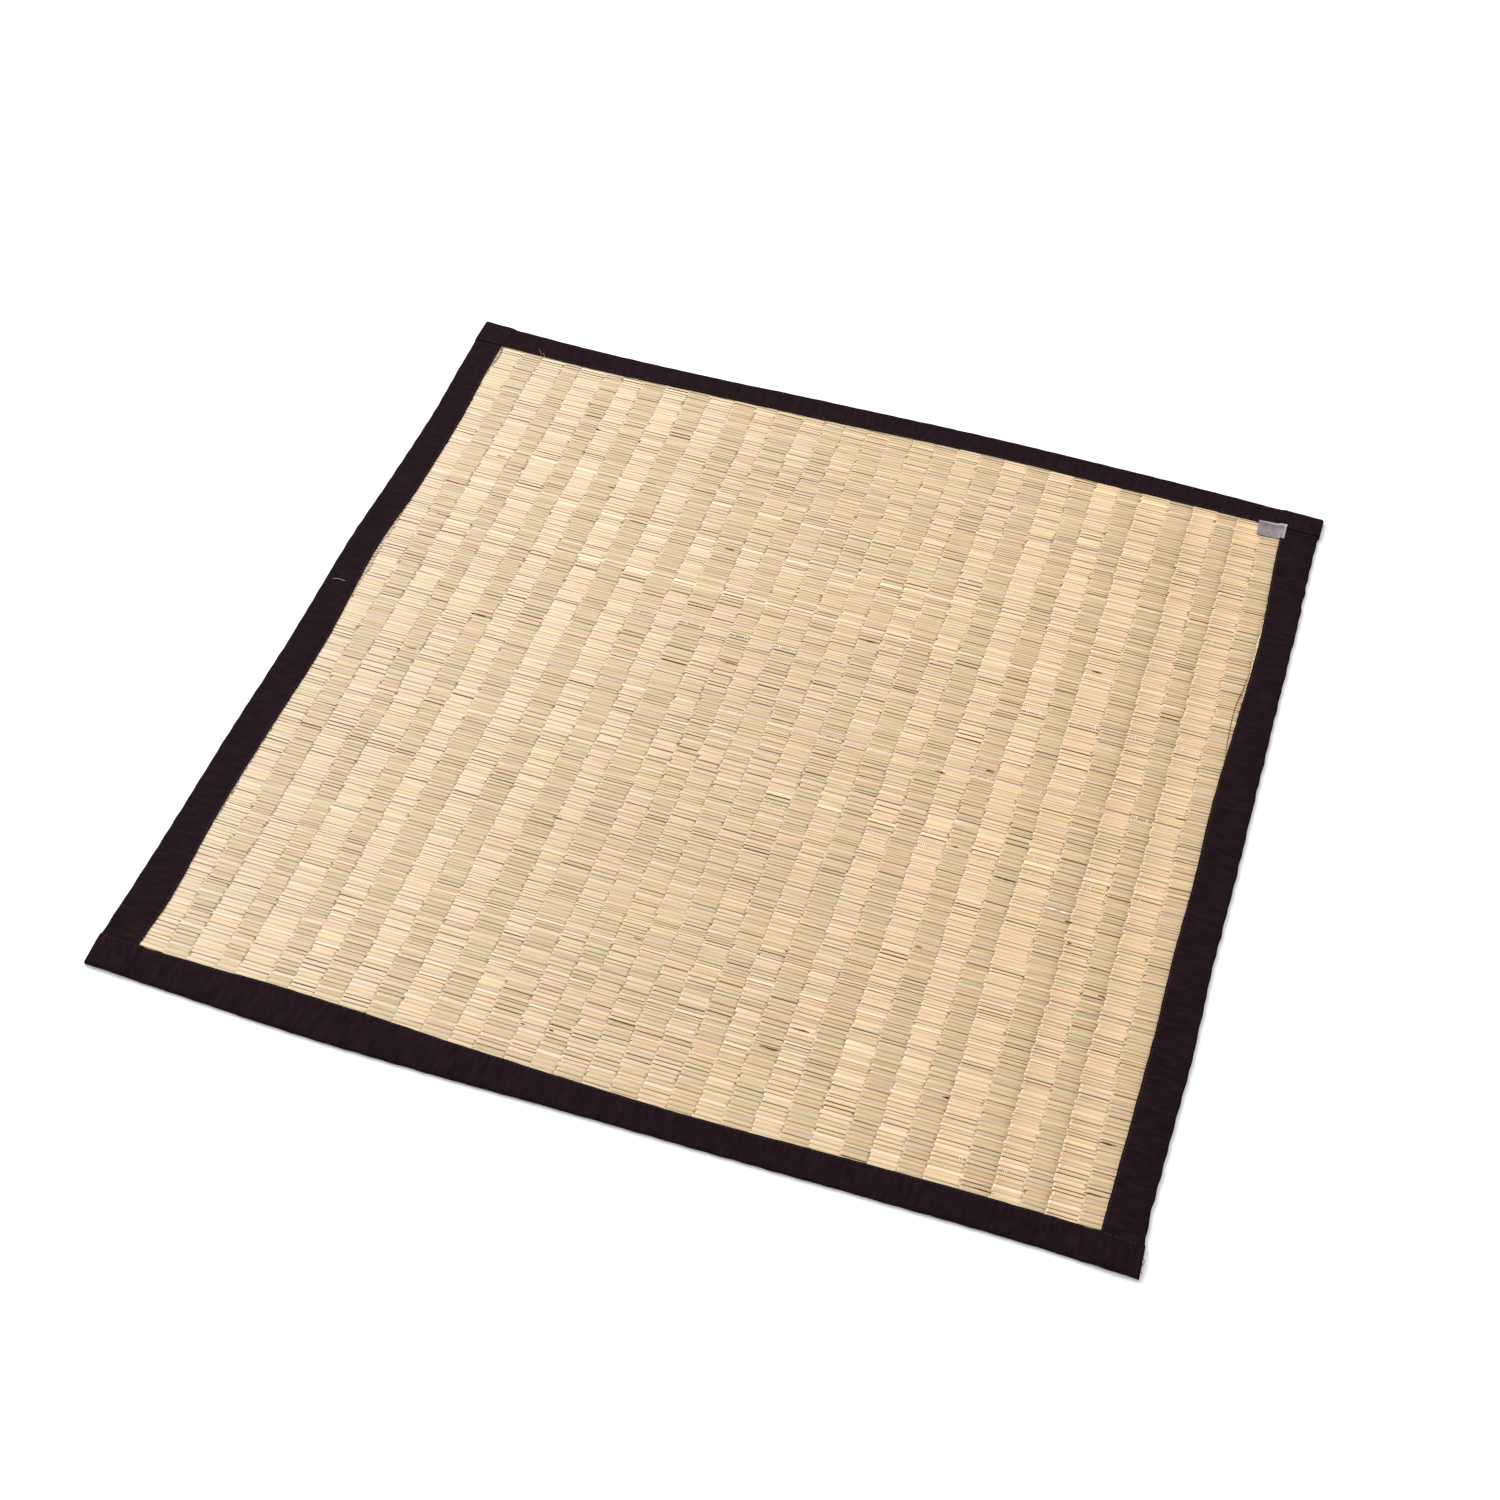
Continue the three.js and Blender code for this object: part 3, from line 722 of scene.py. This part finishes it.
# Along a strip: the distance between sections, and where they lie by the closed end of a cross strip, which is
# rounded, reaches past the side strip, and follows its line from END_FADE away
STATION_STEP = 3.0
END_STATIONS = np.array([0.0, 0.12, 0.4, 0.9, 1.6])
END_RADIUS = 2.0
END_PAST = 0.9
END_FADE = 60

# The hem, the stitches' distance from the inner edge, their pitch, and how far the turned-in cloth reaches
HEM_RADIUS = 0.45
STITCH_PLACE = 1.5
STITCH_PITCH = 3.6
TURNED_IN = 10.5


def side_top(cross):
    """Top of a side strip: on the rush, which lies higher where a cross strip holds it."""
    return rush_high(1.0, cross) + AIR + CLOTH


def cross_top(side):
    """Top of a cross strip: on the rush, or on the side strip's end at a corner."""
    at_edge, at_corner = side_top(0.0), side_top(1.0) + AIR + CLOTH
    return at_edge + (at_corner - at_edge) * side


def strip_relief(seed, along, inward, width):
    """How the upper cloth of a strip rises and falls: a turned-in hem beside its inner edge, a groove along
    the stitches, puckers across it that grow towards stitches and fold, and slow waves."""
    edge = width - inward
    hem = 0.16 * smooth((TURNED_IN - edge) / 1.5) * smooth(edge / 0.4)
    groove = -0.22 * np.exp(-((edge - STITCH_PLACE) / 0.7) ** 2)
    near_stitch = np.exp(-np.maximum(edge - 1, 0) / 5)
    near_fold = np.exp(-inward / 6)
    pucker = drift(seed, along, inward, 5.5, 40) * (0.16 * near_stitch + 0.10 * near_fold + 0.05)
    wave = 0.12 * drift(seed + 1, along, inward, 22, 14) + 0.06 * drift(seed + 2, along, inward, 8, 9)
    settle = smooth(inward / 3) * smooth(edge / 0.4)
    return hem + groove + (pucker + wave) * settle


# The strips: the function of their lines, the way in from the edge, the way along it, the first number of
# their random fields, and how much their outer edge is scalloped by the sewing
SIDES = {
    "left": dict(line=left_line, inward=X_AXIS, along=Y_AXIS, seed=101, scallop=0.25),
    "right": dict(line=right_line, inward=-X_AXIS, along=Y_AXIS, seed=111, scallop=0.45),
    "near": dict(line=near_line, inward=Y_AXIS, along=X_AXIS, seed=121, scallop=0.2),
    "far": dict(line=far_line, inward=-Y_AXIS, along=X_AXIS, seed=131, scallop=0.2),
}
CROSS_STRIPS = ("near", "far")


def strip_shape(side, along):
    """For places along a strip: its outer line, width, lowest and highest face, before the relief."""
    s = SIDES[side]
    ripple = s["scallop"] * (0.6 * np.sin(along * 2 * np.pi / 20.5) + 0.8 * drift(s["seed"] + 5, along, 0, 9, 1))
    outer = s["line"](OUTER, along) + ripple * s["inward"].sum()
    inner = s["line"](INNER, along) + 0.22 * drift(s["seed"] + 6, along, 0, 6, 1)
    width = np.abs(inner - outer)
    if side in CROSS_STRIPS:
        return outer, width, np.full(along.shape, FLOOR), cross_top(under_strips(along, inner)[0])
    cross = under_strips(inner, along)[1]
    return outer, width, FLOOR + LAYER * cross, side_top(cross)


def strip_stations(side):
    """Places along a strip, evenly spaced, and close together by the ends of a cross strip. The side strips
    end just under the cross strips."""
    line = SIDES[side]["line"]
    if side in CROSS_STRIPS:
        start = left_line(OUTER, line(INNER, -CORNER)) - END_PAST
        end = right_line(OUTER, line(INNER, CORNER)) + END_PAST
        inside = np.linspace(start + 2.5, end - 2.5, int((end - start) / STATION_STEP))
        return np.concatenate([start + END_STATIONS, inside, (end - END_STATIONS)[::-1]])
    middle = line(INNER, 0.0)
    start, end = near_line(OUTER, middle) + 2.2, far_line(OUTER, middle) - 2.2
    return np.linspace(start, end, int((end - start) / STATION_STEP))


def hem_loss(edge):
    """How much of the way to the middle of the cloth a face lies at the hem: a quarter of a circle."""
    return 1 - np.sqrt(1 - np.clip(1 - edge / HEM_RADIUS, 0, 1) ** 2 * 0.97)


def strip_faces(side, along):
    """Inward distance and height of a strip's sections, one to a row. A section runs along the outer face of
    the cloth, from the lower inner edge round the fold to the upper one, and back along the inner face one
    cloth further in; the two faces meet in a round hem at both inner edges. Cross strips close at their ends,
    as a quarter of a circle does."""
    outer, width, low, high = (v[:, None] for v in strip_shape(side, along))
    if side in CROSS_STRIPS:
        from_end = np.minimum(along - along.min(), along.max() - along)[:, None]
        closing = np.sqrt(1 - np.clip(1 - from_end / END_RADIUS, 0, 1) ** 2 * 0.98)
        closed = low + 2 * CLOTH + 0.06
        high = closed + (high - closed) * closing
    middle, half = (low + high) / 2, (high - low) / 2

    low_flat = width - LOW_POINTS[-1]
    below = np.concatenate([width - LOW_POINTS, low_flat - (low_flat - FOLD_REACH) * FLAT_SHARES[1]], 1)
    top_flat = width - TOP_POINTS[-1]
    above = np.concatenate([top_flat - (top_flat - FOLD_REACH) * FLAT_SHARES[::-1], width - TOP_POINTS[::-1]], 1)
    relief = strip_relief(SIDES[side]["seed"], along[:, None], above, width)
    round_it = np.linspace(-np.pi / 2, np.pi / 2, FOLD_POINTS)

    inward, z = [], []
    for depth in (0.0, CLOTH):
        fold = FOLD_REACH - (FOLD_REACH - depth) * np.cos(round_it)
        z_below = low + depth + hem_loss(width - below) * (CLOTH / 2 - depth)
        z_fold = middle + (half - depth) * np.sin(round_it)
        z_above = high - depth - hem_loss(width - above) * (CLOTH / 2 - depth) + relief
        inward.append(np.concatenate([below, fold * np.ones_like(width), above], 1))
        z.append(np.concatenate([z_below, z_fold, z_above], 1))
    return np.concatenate([inward[0], inward[1][:, ::-1]], 1), np.concatenate([z[0], z[1][:, ::-1]], 1), outer


def strip_maps(along, inward, z, caps):
    """A strip's two maps: its place on the cloth in metres, and the bake map, in which the strip is cut into
    rows that lie one above the other in the square, with the end faces beside them."""
    u = (along - along.min())[:, None] * 0.001 * np.ones((1, inward.shape[1] + 1))
    closed_in, closed_z = (np.concatenate([a, a[:, :1]], 1) for a in (inward, z))
    steps = np.hypot(np.diff(closed_in, axis=1), np.diff(closed_z, axis=1)) * 0.001
    v = np.concatenate([np.zeros((len(along), 1)), np.cumsum(steps, 1)], 1)
    cap_at = np.stack([inward.ravel()[caps], z.ravel()[caps]], -1)

    rows = 4
    run = u / u.max() * rows * 0.9999
    row = np.minimum(np.floor((run[:-1] + run[1:]) / 2), rows - 1)[:, :1]

    def lay(place, w):
        return np.stack([0.01 + 0.96 * np.clip(place, 0, 1), (row + 0.02 + 0.94 * w) / rows], -1)

    here, there = lay(run[:-1] - row, v[:-1] / v.max()), lay(run[1:] - row, v[1:] / v.max())
    bake = np.stack([here[:, :-1], here[:, 1:], there[:, 1:], there[:, :-1]], 2)
    bake_caps = cap_at / np.array([45.0, 9.0]) * np.array([0.01, 0.2]) + np.array([0.985, 0.01])
    bake_caps[len(caps) // 2:, :, 1] += 0.4
    return {"cloth": [grid_map(u, v), cap_at * 0.001], "OFBake": [bake.reshape(-1, 4, 2), bake_caps]}


def binding(side, finish):
    """A strip folded over an edge, closed at both ends. The ends of a cross strip follow the mat's outer lines
    at the corners."""
    s = SIDES[side]
    along = strip_stations(side)
    if np.cross(s["inward"], s["along"])[2] < 0:
        along = along[::-1]
    inward, z, outer = strip_faces(side, along)
    across = outer + inward * s["inward"].sum()
    travel = along[:, None] * np.ones_like(across)
    if side in CROSS_STRIPS:
        start, end = along.min(), along.max()
        by_left = smooth((start + END_FADE - travel) / END_FADE)
        by_right = smooth((travel - end + END_FADE) / END_FADE)
        travel = travel + by_left * (left_line(OUTER, across) - END_PAST - start)
        travel = travel + by_right * (right_line(OUTER, across) + END_PAST - end)
    points = travel[..., None] * s["along"] + across[..., None] * np.abs(s["inward"]) + z[..., None] * Z_AXIS

    stations, loop = inward.shape
    index = np.arange(stations * loop).reshape(stations, loop)
    following = np.roll(index, -1, 1)
    quads = np.stack([index[:-1], following[:-1], following[1:], index[1:]], -1).reshape(-1, 4)
    j = np.arange(loop // 2 - 1)
    cap = np.stack([j, loop - 1 - j, loop - 2 - j, j + 1], -1)
    caps = np.concatenate([index[0, cap], index[-1, cap[:, [0, 3, 2, 1]]]])
    maps = strip_maps(along, inward, z, caps)
    name = "binding_cloth_" + side
    piece = make_mesh(name, points, [quads, caps], finish, "binding", maps=maps)
    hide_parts("binding_" + side)
    return piece


def stitches(finish):
    """Running stitches along both inner edges of every strip, above and below: short threads whose ends dip
    into the cloth, at unequal steps and a little out of line."""
    rng = np.random.default_rng(61)
    paths = []
    step = np.array([-0.5, -0.36, 0.36, 0.5])
    dip = np.array([-0.30, 0.10, 0.10, -0.30])
    for side, s in SIDES.items():
        if side in CROSS_STRIPS:
            stations = strip_stations(side)
            start, end = stations.min() + 3.5, stations.max() - 3.5
        else:
            start = near_line(INNER, s["line"](INNER, -CORNER)) - 2
            end = far_line(INNER, s["line"](INNER, CORNER)) + 2
        middle = np.arange(start + 2, end - 2, STITCH_PITCH)
        middle = middle + rng.uniform(-0.3, 0.3, len(middle))
        t = middle[:, None] + rng.uniform(2.2, 2.8, (len(middle), 1)) * step
        outer, width, low, high = strip_shape(side, t)
        edge = STITCH_PLACE + 0.22 * drift(s["seed"] + 8, t, 0, 30, 1) + 0.08 * rng.standard_normal(t.shape)
        inward = width - edge
        across = outer + inward * s["inward"].sum()
        flat = t[..., None] * s["along"] + across[..., None] * np.abs(s["inward"])
        for z in (high + strip_relief(s["seed"], t, inward, width) + dip, low - 0.25 * dip - 0.02):
            paths.append(flat + z[..., None] * Z_AXIS)
    path = np.concatenate(paths)
    ahead = (path[:, -1] - path[:, 0])[:, None, :] * np.ones((1, len(step), 1))
    lying_above = path[..., 2] > 2
    half, half_up = np.full(path.shape[:2], 0.20), np.where(lying_above, 0.16, 0.10)
    return make_tubes("stitches", path, beside(ahead), half, half_up, 4, 0.0, finish, "binding")


def beside(ahead):
    """The level direction of length 1 to the left of each direction."""
    level = np.stack([-ahead[..., 1], ahead[..., 0], np.zeros(ahead.shape[:-1])], -1)
    return level / np.linalg.norm(level, axis=-1, keepdims=True)


def smooth_line(rows, count):
    """A smooth line through a few points: each coordinate is a cubic between neighbouring points."""
    rows = np.array(rows, float)
    place = np.linspace(0, len(rows) - 1, count)
    k = np.clip(place.astype(int), 0, len(rows) - 2)
    t = (place - k)[:, None]
    pad = np.concatenate([2 * rows[:1] - rows[1:2], rows, 2 * rows[-1:] - rows[-2:-1]])
    a, b, c, d = pad[k], pad[k + 1], pad[k + 2], pad[k + 3]
    return b + 0.5 * t * (c - a + t * (2 * a - 5 * b + 4 * c - d + t * (3 * (b - c) + d - a)))


# ---------------- label

def label(finish):
    """A small woven tape over the inner corner of the right and far strips: a grid that follows what it lies
    on, half a millimetre thick, with its near left corner lifted a little, closed round its rim."""
    left, right, near, far = 347.7, 372.5, 363.9, 381.2
    s, t = np.meshgrid(np.linspace(0, 1, 30), np.linspace(0, 1, 26), indexing="ij")
    frayed = 0.12 * (np.abs(t - 0.5) > 0.49)
    x = left + (right - left) * s - 0.5 * (t - 0.5)
    y = near + (far - near) * t + 1.4 * (s - 0.5) + frayed * drift(71, x, t, 3, 1)
    on_side = smooth((x - right_line(INNER, y) + 1.6) / 1.6)
    on_cross = smooth((y - far_line(INNER, x) + 1.6) / 1.6)
    side, cross = under_strips(x, y)
    low = rush_high(side, cross)
    low = low + (side_top(cross) + 0.45 - low) * on_side
    low = low + (cross_top(side) + 0.45 - low) * on_cross
    curl = 0.7 * np.exp(-((s / 0.25) ** 2 + (t / 0.3) ** 2)) + 0.10 * drift(72, x, y, 6, 5)
    middle = low + 0.10 + np.maximum(curl, 0) + 0.25
    rim = np.minimum(np.minimum(s, 1 - s) * 25, np.minimum(t, 1 - t) * 20)
    half = 0.25 * np.sqrt(1 - np.clip(1 - rim / 0.5, 0, 1) ** 2 * 0.8)
    points = np.stack([np.stack([x, y, z], -1) for z in (middle + half, middle - half)])
    index = np.arange(s.size).reshape(s.shape)
    upper = np.stack([index[:-1, :-1], index[1:, :-1], index[1:, 1:], index[:-1, 1:]], -1).reshape(-1, 4)
    round_rim = np.concatenate([index[:-1, 0], index[-1, :-1], index[:0:-1, -1], index[0, :0:-1]])
    following = np.roll(round_rim, -1)
    wall = np.stack([round_rim, round_rim + s.size, following + s.size, following], -1)
    faces = [upper, upper[:, ::-1] + s.size, wall]
    flat = np.tile(np.stack([x - left, y - near], -1).reshape(-1, 2) * 0.001, (2, 1))
    piece = make_mesh("label_cloth", points, faces, finish, "label", maps={"cloth": [flat[f] for f in faces]})
    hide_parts("label")
    return piece


# Loose threads and fibres: their kind, and points along each, with the height over what it lies on. The tones
# and half widths of the kinds follow: dark sewing thread, reddish hair, pale lint and brown fibre.
LOOSE = (
    (0, ((-372.2, 371, 0.2), (-370.4, 362, 0.3), (-370.0, 350, 0.2), (-371.6, 338, 0.1))),
    (0, ((373.1, 196, 0.1), (371.2, 175, 0.3), (368.8, 157, 0.5), (368.1, 138, 0.3), (369.0, 114, 0.4),
         (370.4, 93, 0.1))),
    (1, ((-338.9, 376.5, 0.2), (-336.5, 373, 0.9), (-333.5, 369.5, 0.8), (-332.4, 366.0, 0.1))),
    (1, ((-332.6, 372.2, 0.2), (-330.6, 369.5, 0.6), (-328.4, 365.5, 0.1))),
    (2, ((-394.5, 31.5, 0.2), (-388.0, 32.6, 0.5), (-382.0, 32.4, 0.2))),
    (2, ((262, -107, 0.1), (270, -108.5, 0.5), (279, -106.6, 0.3), (291, -108.2, 0.1))),
    (0, ((398.8, -381, 0.1), (403.4, -386, -1.5), (402.0, -392, -2.4), (404.6, -396, -3.2))),
    (3, ((-60, 378, 0.2), (-55, 371.5, 0.6), (-58, 367, 0.1))),
)
LOOSE_TONES = np.array([linear(66, 40, 34), linear(158, 112, 104), linear(196, 176, 168), linear(120, 92, 74)])
LOOSE_HALVES = np.array([0.27, 0.15, 0.18, 0.15])


def surface_height(x, y):
    """Height of what a loose bit lies on: the rush, or a strip beside or across it."""
    side, cross = (smooth(1 - distance / 0.5) for distance in inside(x, y))
    base = rush_high(*under_strips(x, y))
    base = base + (side_top(0.0) + 0.2 - base) * side
    return base + (cross_top(side) + 0.2 - base) * cross


def loose_bits(finish):
    """Thin threads and fibres on the mat: tubes along smooth lines, drawn out to a point at both ends."""
    rings, sides = 22, 5
    path = np.stack([smooth_line(points, rings) for _, points in LOOSE])
    path[..., 2] += surface_height(path[..., 0], path[..., 1])
    path[..., 2] = np.maximum(path[..., 2], 0.3)
    across = beside(np.gradient(path, axis=1))
    kinds = np.array([kind for kind, _ in LOOSE])
    half = np.sqrt(1.02 - np.linspace(-1, 1, rings) ** 2) * LOOSE_HALVES[kinds][:, None]
    tone = np.repeat(LOOSE_TONES[kinds], rings * sides, axis=0)
    return make_tubes("loose_fibres", path, across, half, half, sides, 0.0, finish, "binding", tone=tone)


# ---------------- studio

def stand(name, data, right, up, back, place):
    """A camera or a lamp at a place, with its own three axes."""
    holder = bpy.data.objects.new(name, data)
    rows = [[right[k], up[k], back[k], place[k]] for k in range(3)] + [[0, 0, 0, 1]]
    holder.matrix_world = Matrix(rows)
    bpy.context.scene.collection.objects.link(holder)
    return holder


def camera():
    """The view of the photograph: place, direction and lens worked out from the mat's four corners."""
    lens = bpy.data.cameras.new("camera")
    lens.sensor_fit, lens.sensor_width, lens.lens = "HORIZONTAL", 36.0, 59.086
    lens.clip_start, lens.clip_end = 0.05, 60
    right, up = (0.95094, 0.30698, 0.03865), (-0.25599, 0.71046, 0.65552)
    back, place = (0.17377, -0.63326, 0.75418), (0.34937, -1.29742, 1.51095)
    bpy.context.scene.camera = stand("camera", lens, right, up, back, place)


def lamp(name, place, size, power, colour):
    """A square soft lamp at a place, turned towards the middle of the mat."""
    light = bpy.data.lights.new(name, "AREA")
    light.shape, light.size, light.energy, light.color = "SQUARE", size, power, colour
    back = np.array(place) / np.linalg.norm(place)
    side = np.cross(Z_AXIS, back)
    side /= np.linalg.norm(side)
    stand(name, light, side, np.cross(back, side), back, place)


def studio():
    """White floor, one large soft lamp from the far left, and an even pale surround."""
    reach = 9000.0
    points = reach * np.array([[-1.0, -1, 0], [1, -1, 0], [1, 1, 0], [-1, 1, 0]])
    floor = make_mesh("floor", points, [np.array([[0, 1, 2, 3]])], floor_finish())
    lamp("key_lamp", (-3.0, 1.7, 2.9), 3.0, 214, (1.0, 0.98, 0.97))
    world = bpy.data.worlds.new("surround")
    world.use_nodes = True
    sky = world.node_tree.nodes["Background"].inputs
    sky["Color"].default_value = (0.98, 0.99, 1.0, 1)
    sky["Strength"].default_value = 0.98
    bpy.context.scene.world = world
    bpy.context.scene.view_settings.view_transform = "Standard"


camera()
studio()

warp, husk = warp_finish(), husk_finish()
in_the_weave = [warps(warp), ticks(warp), husks(husk)]
straw = straw_finish()
half_way = STRAWS // 4 * 2
for family, word in enumerate(("left", "right")):
    for part, start, end in (("near", 0, half_way), ("far", half_way, STRAWS)):
        chosen = np.arange(start + (start + family) % 2, end, 2)
        woven = straws(f"straws_rooted_{word}_{part}", family, chosen, straw)
        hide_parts("rush_panel")

cotton = cotton_finish()
on_the_strips = [stitches(thread_finish()), loose_bits(husk)]
for side in SIDES:
    cloth = binding(side, cotton)

tape = label(label_finish())
